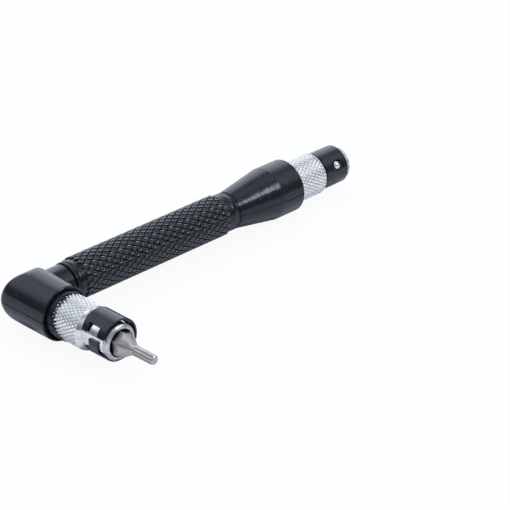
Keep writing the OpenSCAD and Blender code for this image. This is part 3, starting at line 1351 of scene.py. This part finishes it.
@dataclass
class GripSleeve(Piece):
    """Over-moulded sleeve: a smooth ring at each end and raised pads between.

    Attributes:
        ring_length: Length of each smooth ring.
        ring_r: Radius of the rings.
        floor_r: Radius between the pads.
        bore_r: Radius of its bore on the joined shells.
        pad_columns: Pads round the sleeve in one row.
        pad_pitch: Length along the sleeve of one pad with its groove.
        groove: Width of the grooves between pads.
        corner: Rounding of a pad's corners in plan.
        crown: Rounding of a pad's top edge.
        brim: Width of the slope inside that edge.
        dish: How far a pad's middle has sunk.
        phase: Shift of the pads along the sleeve from its middle.
        edge: Size of the steps in a ring's outline.
        sunk: How far a pad's foot goes under the floor.
        soft: Faces meeting under this many degrees shade as one.
        steps: Facets round the sleeve.
        low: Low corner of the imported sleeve's box.
        high: High corner of that box.
    """

    ring_length: float = 2.3 * MM
    ring_r: float = 5.55 * MM
    floor_r: float = 5.5 * MM
    bore_r: float = 4.8 * MM
    pad_columns: int = 20
    pad_pitch: float = 3.1 * MM
    groove: float = 0.33 * MM
    corner: float = 0.3 * MM
    crown: float = 0.08 * MM
    brim: float = 0.22 * MM
    dish: float = 0.09 * MM
    phase: float = -0.3 * MM
    edge: float = 0.15 * MM
    sunk: float = 0.05 * MM
    soft: float = 60
    steps: int = 120
    low: Vector = field(default_factory=lambda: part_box("grip_sleeve")[0])
    high: Vector = field(default_factory=lambda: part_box("grip_sleeve")[1])

    @property
    def middle(self) -> Vector:
        """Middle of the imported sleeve's box."""
        return (self.low + self.high) / 2

    @property
    def top_r(self) -> float:
        """Radius over the pads."""
        return (self.high.z - self.low.z) / 2

    def build(self) -> bpy.types.Object:
        """Turns the sleeve and studs it with pads.

        Returns:
            The finished sleeve in its place.
        """
        length = self.high.x - self.low.x
        edge = self.edge
        ring = [
            (self.ring_r - 2 * edge, 0),
            (self.ring_r - 0.6 * edge, 0.6 * edge),
            (self.ring_r, 2 * edge),
            (self.ring_r, 4 * edge),
            (self.ring_r - 1.4 * edge, 5.2 * edge),
            (self.ring_r, 6.4 * edge),
            (self.ring_r, self.ring_length - edge),
        ]
        tube = turned(
            "grip_tube",
            [
                (self.bore_r, 0),
                *ring,
                (self.floor_r, self.ring_length),
                (self.floor_r, length - self.ring_length),
                *((radius, length - height) for radius, height in reversed(ring)),
                (self.bore_r, length),
                (self.bore_r, 0),
            ],
            self.steps,
        )
        settle(tube, Matrix.Rotation(math.pi / 2, 4, "Y"))
        field_length = length - 2 * self.ring_length
        rows = int(field_length / (self.pad_pitch / 2)) - 1
        pads = StudField(self.pad_columns, rows, self.pad_pitch, self.floor_r).wrap(
            "grip_pads", self._pad()
        )
        run = (rows - 1) * self.pad_pitch / 2
        settle(pads, Matrix.Translation(((length - run) / 2 + self.phase, 0, 0)))
        whole = joined("grip_sleeve_padded", [tube, pads])
        settle(whole, Matrix.Translation((self.low.x, self.middle.y, self.middle.z)))
        smooth(whole, self.soft)
        return whole

    def _pad(self) -> bpy.types.Object:
        """Models one raised pad, standing toward -Y.

        Returns:
            The pad, with its foot a little under the floor.
        """
        step = 2 * math.pi * self.floor_r / self.pad_columns
        side = math.hypot(self.pad_pitch, step) / 2
        squash = 1 - self.groove * side / (self.pad_pitch * step / 2)
        height = self.top_r - self.floor_r + self.sunk
        pad = rod("grip_pad", 4, 0.5, height, (0, 0, height / 2 - self.sunk))
        pad.scale = (self.pad_pitch * squash, step * squash, 1)
        apply_place()
        top = height - self.sunk - TOP_NEAR
        with editing(pad):
            pick(
                pad,
                Pick.EDGES,
                lambda edge: abs(edge.verts[0].co.z - edge.verts[1].co.z) > self.sunk,
            )
            bpy.ops.mesh.bevel(offset=self.corner, segments=2, affect="EDGES")
            pick(pad, Pick.FACES, lambda face: face.normal.z < -FACING)
            bpy.ops.mesh.delete(type="FACE")
            pick(pad, Pick.EDGES, lambda edge: all(vert.co.z > top for vert in edge.verts))
            bpy.ops.mesh.bevel(offset=self.crown, segments=1, affect="EDGES")
            pick(pad, Pick.FACES, lambda face: face.normal.z > FACING)
            bpy.ops.mesh.inset(thickness=self.brim)
            bpy.ops.transform.translate(value=(0, 0, -self.dish))
        pad.rotation_euler = (math.pi / 2, 0, 0)
        apply_place()
        return pad

    def rubber(self) -> bpy.types.Material:
        """Makes the sleeve's over-moulding."""
        middle = self.middle
        return GripRubber("grip_black", middle.y, middle.z, self.floor_r, self.top_r).make()

    def dress(self, piece: bpy.types.Object, material: bpy.types.Material) -> None:
        """Finishes the sleeve and seats it on the handle.

        Args:
            piece: The finished sleeve.
            material: Its over-moulding.
        """
        dress(piece, material)
        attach(piece, "handle")
        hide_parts("grip_sleeve")


@dataclass
class MouthLip(Piece):
    """Thin run-out of moulding over the knurl, with a ragged front edge.

    Attributes:
        head: The head that it lies on.
        mouth: Distance of the housing's mouth behind the socket's.
        depth: How far it goes back into the recess.
        foot_r: Radius at its back.
        film_r: Radius over the knurl's tips.
        film_start: How far ahead of the mouth its thin film starts.
        film_length: Length of the film before its teeth are drawn out.
        inner_r: Radius of its inside, under the knurl's tips.
        reach: Angle from the ball, degrees, and how far it runs out there. Its longest run, from
            about 190 to 290 degrees, is partly real flash and partly a dark sheet of painted shade
            on the knurl.
        teeth: Ragged steps round its front edge.
        rag: Height of those steps.
        flap: Angles between which a torn flap stands off the knurl.
        flap_lift: How far it stands off.
        soft: Faces meeting under this many degrees shade as one.
    """

    head: Head
    mouth: float = 21.2 * MM
    depth: float = 1.35 * MM
    foot_r: float = 6.85 * MM
    film_r: float = 6.45 * MM
    film_start: float = 0.6 * MM
    film_length: float = 0.36 * MM
    inner_r: float = 5.8 * MM
    # From about 190 to 290 degrees the run-out is partly flash and partly a dark sheet of painted
    # shade on the knurl.
    reach: tuple[tuple[float, float], ...] = (
        (0, 1.4 * MM),
        (60, 1.9 * MM),
        (95, 2.5 * MM),
        (125, 2.9 * MM),
        (150, 2.7 * MM),
        (170, 2.7 * MM),
        (182, 4.3 * MM),
        (190, 3.4 * MM),
        (225, 4.5 * MM),
        (255, 4.5 * MM),
        (290, 3.2 * MM),
        (360, 1.4 * MM),
    )
    teeth: int = 48
    rag: float = 0.55 * MM
    flap: tuple[float, float] = (174, 187)
    flap_lift: float = 0.4 * MM
    soft: float = 50

    def build(self) -> bpy.types.Object:
        """Turns the run-out and draws its front edge out by angle.

        Returns:
            The run-out in its place.
        """
        start = -self.mouth - self.depth
        film = -self.mouth + self.film_start
        front = film + self.film_length
        lip = turned(
            "mouth_run_out",
            [
                (self.inner_r, start),
                (self.foot_r, start),
                (self.foot_r - 0.1 * MM, -self.mouth - 0.5 * MM),
                (self.film_r + 0.12 * MM, film - 0.2 * MM),
                (self.film_r + 0.02 * MM, film + 0.3 * MM),
                (self.film_r - 0.06 * MM, front),
                (self.inner_r, front),
                (self.inner_r, start),
            ],
            2 * self.teeth,
        )
        span = 360 / self.teeth
        with editing(lip):
            for tooth in range(self.teeth):
                middle = tooth * span
                pick(lip, Pick.VERTS, lambda vert: self._in_tooth(vert, film, middle, span))
                # Two waves that never fall in step keep the teeth uneven.
                rag = 0.35 * math.sin(2.4 * tooth) ** 3 + 0.65 * math.sin(0.9 * tooth + 0.7)
                out = self._run(middle) - self.film_start - self.film_length + self.rag * rag
                lift = self.flap_lift if self.flap[0] < middle < self.flap[1] else 0.0
                turn = math.radians(middle)
                bpy.ops.transform.translate(
                    value=(lift * math.cos(turn), lift * math.sin(turn), out)
                )
        settle(lip, self.head.place())
        smooth(lip, self.soft)
        return lip

    def _in_tooth(self, vert: Any, film: float, middle: float, span: float) -> bool:
        """Says whether a vertex lies on one tooth of the front edge.

        Args:
            vert: The vertex.
            film: Height at which the film starts.
            middle: Angle of the tooth's middle, degrees.
            span: Width of a tooth, degrees.

        Returns:
            Whether it lies there.
        """
        slack = 0.1
        turn = math.degrees(math.atan2(vert.co.y, vert.co.x)) - middle
        return vert.co.z > film and -slack < (turn + 0.5 * span) % 360 < span - slack

    def _run(self, angle: float) -> float:
        """Gives how far it runs out at an angle from the ball.

        Args:
            angle: The angle in degrees, from 0 to 360.

        Returns:
            Distance beyond the housing's mouth.
        """
        for (a_from, r_from), (a_to, r_to) in pairwise(self.reach):
            if angle <= a_to:
                return r_from + (r_to - r_from) * (angle - a_from) / (a_to - a_from)
        return self.reach[-1][1]

    def dress(self, piece: bpy.types.Object, material: bpy.types.Material) -> None:
        """Finishes the run-out and seats it on the handle.

        Args:
            piece: The run-out.
            material: Its finish.
        """
        dress(piece, material)
        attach(piece, "handle")


@dataclass
class EasedNode(Piece):
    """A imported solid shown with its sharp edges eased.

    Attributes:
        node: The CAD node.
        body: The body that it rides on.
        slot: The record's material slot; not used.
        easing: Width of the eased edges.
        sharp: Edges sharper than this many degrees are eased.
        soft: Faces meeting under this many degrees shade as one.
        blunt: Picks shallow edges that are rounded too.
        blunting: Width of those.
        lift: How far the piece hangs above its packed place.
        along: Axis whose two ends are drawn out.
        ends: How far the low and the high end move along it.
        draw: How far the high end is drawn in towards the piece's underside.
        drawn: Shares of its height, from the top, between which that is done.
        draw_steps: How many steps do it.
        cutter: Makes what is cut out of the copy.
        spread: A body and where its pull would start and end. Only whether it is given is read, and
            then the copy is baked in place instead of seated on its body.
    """

    node: str
    body: str
    slot: str
    easing: float
    sharp: float = 40
    soft: float = 40
    blunt: Callable[[Any], bool] | None = None
    blunting: float = 0.12 * MM
    lift: float = 0.0
    along: Axis = Axis.X
    ends: tuple[float, float] = (0.0, 0.0)
    draw: float = 0.0
    drawn: tuple[float, float] = (0.05, 0.8)
    draw_steps: int = 12
    cutter: Callable[[], bpy.types.Object] | None = None
    spread: tuple[str, Vector, Vector] | None = None

    def build(self) -> bpy.types.Object:
        """Copies the node, merges its faces and eases its edges.

        Returns:
            The eased copy.
        """
        select_only(frame["nodes"][self.node])
        bpy.ops.object.duplicate()
        piece = bpy.context.active_object
        piece.parent = None
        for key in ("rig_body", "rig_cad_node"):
            del piece[key]
        named(piece, f"{self.node}_eased")
        bpy.ops.mesh.customdata_custom_splitnormals_clear()
        with editing(piece):
            bpy.ops.mesh.remove_doubles(threshold=SOLID_MERGE)
            bpy.ops.mesh.dissolve_limited(angle_limit=math.radians(SOLID_FLAT))
            if self.blunt and pick(piece, Pick.EDGES, self.blunt):
                bpy.ops.mesh.bevel(offset=self.blunting, segments=2, affect="EDGES")
            if self.draw:
                self._draw_in(piece)
            for corner, move in zip(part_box(self.node), self.ends):
                place = corner[self.along]
                pick(piece, Pick.VERTS, lambda vert: abs(vert.co[self.along] - place) < ON_PLACE)
                bpy.ops.transform.translate(value=step_along(self.along, move))
        if self.cutter:
            carve(piece, self.cutter())
        ease(piece, self.easing, self.sharp)
        settle(piece, Matrix.Translation((0, 0, self.lift)))
        smooth(piece, self.soft)
        return piece

    def _draw_in(self, piece: bpy.types.Object) -> None:
        """Draws the high end in, from nothing at the top to all of it below.

        Args:
            piece: The copy, in edit mode.
        """
        low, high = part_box(self.node)
        start, end = self.drawn
        behind = high[self.along] - self.draw - ON_PLACE
        for step in range(self.draw_steps):
            share = start + (end - start) * (step + 0.5) / self.draw_steps
            height = high.z - share * (high.z - low.z)
            pick(
                piece,
                Pick.VERTS,
                lambda vert: vert.co.z < height and vert.co[self.along] > behind,
            )
            move = step_along(self.along, -self.draw / self.draw_steps)
            bpy.ops.transform.translate(value=move)

    def dress(self, piece: bpy.types.Object, material: bpy.types.Material) -> None:
        """Finishes the copy and lets it stand for its node.

        Args:
            piece: The eased copy.
            material: Its finish.
        """
        dress(piece, material)
        if self.spread:
            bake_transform(piece)
        else:
            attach(piece, self.body)
        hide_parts(self.node)


# The studio


def toward(azimuth: float, elevation: float) -> Vector:
    """Gives the direction of a bearing in degrees: 0 is -Y, and +X lies at 90."""
    a, e = math.radians(azimuth), math.radians(elevation)
    return Vector((math.sin(a) * math.cos(e), -math.cos(a) * math.cos(e), math.sin(e)))


@dataclass(frozen=True)
class Camera:
    """Camera at the photograph's viewpoint.

    Attributes:
        station: Where it stands.
        azimuth: Its bearing from the part, degrees; 0 looks along +Y.
        elevation: Its height above the table, degrees.
        roll: Its tilt, degrees.
        focal: Focal length in pixels of the photograph.
        sensor: Width of its sensor, in millimetres.
        clip: Nearest and farthest distance that it sees.
    """

    station: tuple[float, float, float] = (-0.40908, -0.42228, 0.31643)
    azimuth: float = -44.674
    elevation: float = 27.729
    roll: float = -0.155
    focal: float = 2430.69
    sensor: float = 36
    clip: tuple[float, float] = (0.01, 20)

    def build(self) -> None:
        """Adds the camera and makes it the scene's."""
        r = math.radians(self.roll)
        back = toward(self.azimuth, self.elevation)
        right = (-back).cross(Vector((0, 0, 1))).normalized()
        up = right.cross(-back)
        right, up = (
            math.cos(r) * right + math.sin(r) * up,
            math.cos(r) * up - math.sin(r) * right,
        )
        data = bpy.data.cameras.new("photo_camera")
        data.sensor_width = self.sensor
        data.lens = self.focal * self.sensor / PHOTO_SIDE
        data.clip_start, data.clip_end = self.clip
        obj = bpy.data.objects.new("photo_camera", data)
        obj.matrix_world = (
            Matrix.Translation(self.station) @ Matrix((right, up, back)).transposed().to_4x4()
        )
        bpy.context.scene.collection.objects.link(obj)
        bpy.context.scene.camera = obj


@dataclass(frozen=True)
class Softbox:
    """One soft studio lamp, aimed at the part.

    Attributes:
        name: The lamp's name.
        azimuth: Its bearing, degrees, as the camera's.
        elevation: Its height, degrees.
        distance: How far it stands.
        width: Its width.
        height: Its height.
        radiance: How bright its face is; 1 is white.
    """

    name: str
    azimuth: float
    elevation: float
    distance: float
    width: float
    height: float
    radiance: float

    def build(self) -> None:
        """Adds the lamp."""
        way = toward(self.azimuth, self.elevation)
        data = bpy.data.lights.new(self.name, "AREA")
        data.shape = "RECTANGLE"
        data.size, data.size_y = self.width, self.height
        data.energy = self.radiance * math.pi * self.width * self.height
        obj = bpy.data.objects.new(self.name, data)
        obj.location = way * self.distance
        obj.rotation_mode = "QUATERNION"
        obj.rotation_quaternion = way.to_track_quat("Z", "Y")
        obj.visible_camera = False
        bpy.context.scene.collection.objects.link(obj)


@dataclass(frozen=True)
class Glow:
    """One soft bright patch of the surroundings.

    Attributes:
        azimuth: Its bearing, degrees.
        elevation: Its height, degrees.
        core: Half-width of its even middle, degrees.
        fade: Half-width at which it has faded out, degrees.
        level: What it adds; 1 is white.
    """

    azimuth: float
    elevation: float
    core: float
    fade: float
    level: float

    def add(self, tree: ShaderTree, way: Term) -> Term:
        """Gives its light along a direction.

        Args:
            tree: The world's tree.
            way: The direction looked in.

        Returns:
            The light it adds there.
        """
        aim = tree.dot(way, toward(self.azimuth, self.elevation))
        edge, middle = (math.cos(math.radians(x)) for x in (self.fade, self.core))
        return aim.ramp(edge, middle) * self.level


@dataclass(frozen=True)
class Studio:
    """White table, soft surroundings, one lamp and the camera.

    Attributes:
        table: Side of the table.
        cuts: Cuts across it each way.
        drop: How far it lies under the tool, so that no two faces share a place.
        tint: Colour of the surroundings.
        low: Their level near the horizon.
        middle: Their level at half height.
        high: Their level above that.
        top: Level of the broad light overhead.
        rises: Heights in degrees between which each level gives way to the next.
        glows: Soft bright patches in them.
        lamps: The soft lamps.
    """

    table: float = 8.0
    cuts: int = 3
    drop: float = 0.02 * MM
    tint: Colour = (0.83, 0.895, 1.0, 1)
    low: float = 0.25
    middle: float = 0.72
    high: float = 0.42
    top: float = 1.5
    rises: tuple[float, ...] = (12, 42, 45, 57, 60, 74)
    glows: tuple[Glow, ...] = (
        Glow(azimuth=138, elevation=15, core=14, fade=42, level=1.4),
        Glow(azimuth=-160, elevation=42, core=6, fade=30, level=0.65),
        Glow(azimuth=60, elevation=44, core=4, fade=24, level=0.45),
    )
    lamps: tuple[Softbox, ...] = (
        Softbox(
            "key_lamp",
            azimuth=29,
            elevation=41,
            distance=0.9,
            width=0.24,
            height=0.24,
            radiance=7.0,
        ),
    )

    def build(self) -> None:
        """Sets up the table, the light and the camera."""
        table = fresh("table_top", bpy.ops.mesh.primitive_plane_add, size=self.table)
        with editing(table):
            bpy.ops.mesh.subdivide(number_cuts=self.cuts)
        settle(table, Matrix.Translation((0, 0, -self.drop)))
        dress(table, WhiteFloor().make())
        table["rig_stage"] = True
        for lamp in self.lamps:
            lamp.build()
        self._world()
        Camera().build()
        bpy.context.scene.view_settings.view_transform = "Standard"

    def _world(self) -> None:
        """Grades the surroundings by height, with white behind the table."""
        world = bpy.data.worlds.new("studio")
        tree = ShaderTree(world)
        way = Term(tree, tree.add("ShaderNodeTexCoord").outputs["Generated"])
        split = tree.add("ShaderNodeSeparateXYZ", inputs={0: way})
        height = Term(tree, split.outputs[2])
        sines = [math.sin(math.radians(x)) for x in self.rises]
        light = self.low + height.ramp(*sines[:2]) * (self.middle - self.low)
        light = light + height.ramp(*sines[2:4]) * (self.high - self.middle)
        light = light + height.ramp(*sines[4:]) * (self.top - self.high)
        for glow in self.glows:
            light = light + glow.add(tree, way)
        camera = tree.add("ShaderNodeLightPath").outputs["Is Camera Ray"]
        room = tree.add("ShaderNodeBackground", inputs={"Color": self.tint, "Strength": light})
        white = tree.add("ShaderNodeBackground", inputs={"Color": WHITE})
        mixed = tree.add(
            "ShaderNodeMixShader", inputs={0: camera, 1: room.outputs[0], 2: white.outputs[0]}
        )
        tree.add("ShaderNodeOutputWorld", inputs={0: mixed.outputs[0]})
        bpy.context.scene.world = world


# The whole tool


@dataclass
class OffsetScrewdriver:
    """The whole tool, dressed piece by piece.

    Attributes:
        offset: The head square to the handle.
        straight: The head in line with it.
        flare_x: Where the cone meets the flare.
        flare_near: A vertex this near to that place lies on it.
        band_hole_r: Radius of the straight band's hole round its ball.
        band_drill: Length of the drill that opens it.
        bit_flats_r: Distance of the bit's flats from its axis.
    """

    offset: Head = field(default_factory=lambda: Head.read("offset", Axis.Y, -1))
    straight: Head = field(default_factory=lambda: Head.read("straight", Axis.X, 1))
    flare_x: float = 32.05 * MM
    flare_near: float = 0.03 * MM
    band_hole_r: float = 1.6 * MM
    band_drill: float = 8 * MM
    bit_flats_r: float = 3.175 * MM

    def build(self) -> None:
        """Models and dresses every piece."""
        self._handle()
        sleeve = GripSleeve()
        sleeve.add(sleeve.rubber())
        for socket in (
            BitSocket(self.offset, ahead=0.6 * MM),
            BitSocket(self.straight, nose=0.15 * MM),
        ):
            socket.add(socket.plate())
            self._catch(socket.head)
        self._steel()

    def _on_flare(self, edge: Any) -> bool:
        """Says whether an edge lies where the cone meets the flare."""
        return all(abs(vert.co.x - self.flare_x) < self.flare_near for vert in edge.verts)

    def _handle(self) -> None:
        """Dresses the two shells of the handle and the run-out at its mouth."""
        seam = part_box("handle_upper_shell")[0].z
        plastic = HandlePlastic("handle_black", seam).make()
        for node in ("handle_upper_shell", "handle_lower_shell"):
            shell = EasedNode(node, "handle", "handle_plastic", 0.18 * MM, blunt=self._on_flare)
            shell.add(plastic)
        rough = HandlePlastic("run_out_black", seam, roughness=0.3, relief=0.08 * MM)
        MouthLip(self.offset).add(rough.make())

    def _catch(self, head: Head) -> None:
        """Dresses one head's spring band and ball.

        Args:
            head: The head.
        """
        shape: dict[str, Any] = {
            "lift": 0.3 * MM,
            "along": Axis.Y,
            "ends": (-0.55 * MM, 0),
            "draw": 1.2 * MM,
        }
        if head is self.straight:
            shape = {"ends": (-0.75 * MM, -0.45 * MM), "cutter": self._ball_drill}
        shape["spread"] = (
            f"{head.name}_ball",
            head.mouth - head.ball * 2 * MM,
            head.mouth + head.ball * 5 * MM,
        )
        band = EasedNode(f"{head.name}_spring_band", "handle", "spring_steel", 0.08 * MM, **shape)
        band.add(BlackSpring(f"spring_black_{head.name}", head.along).make())
        polish = SatinSteel(
            f"ball_polish_{head.name}",
            light=(0.9, 0.9, 0.9, 1),
            shade=(0.8, 0.8, 0.8, 1),
            roughness=0.05,
            grain=0.3 * MM,
            relief=0.002 * MM,
        )
        dress_node(f"{head.name}_detent_ball", polish)

    def _ball_drill(self) -> bpy.types.Object:
        """Makes the drill that opens the straight band round its ball.

        Returns:
            The drill in its place.
        """
        low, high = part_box("straight_detent_ball")
        length = self.band_drill
        middle = (length / 2, 0, 0)
        drill = rod(
            "band_hole_cutter", HOLE_SIDES, self.band_hole_r, length, middle, math.pi / 2
        )
        turn = self.straight.place().to_3x3().to_4x4()
        settle(drill, Matrix.Translation((low + high) / 2) @ turn)
        return drill

    def _steel(self) -> None:
        """Dresses the bit and the hidden core bar."""
        bit = EasedNode("star_bit", "bit", "bit_steel", 0.08 * MM, sharp=16, soft=24)
        bit.add(BitSteel("bit_satin", self.offset, self.bit_flats_r).make())
        drawn = SatinSteel(
            "core_drawn",
            light=(0.5, 0.5, 0.51, 1),
            shade=(0.4, 0.4, 0.41, 1),
            roughness=0.34,
            grain=0.12 * MM,
            relief=0.01 * MM,
            stretch=(0.1, 1, 1),
        )
        dress_node("core_bar", drawn)


def main() -> None:
    """Builds the studio and the tool."""
    logging.basicConfig(level=logging.INFO, format="%(name)s: %(message)s")
    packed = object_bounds()
    Studio().build()
    OffsetScrewdriver().build()
    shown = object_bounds()
    boxes = {"cad": [list(c) for c in packed], "visual": [list(c) for c in shown]}
    in_mm = {k: [[round(x / MM, 2) for x in c] for c in v] for k, v in boxes.items()}
    LOG.info("boxes in mm: %s", in_mm)


if __name__ == "__main__":
    main()
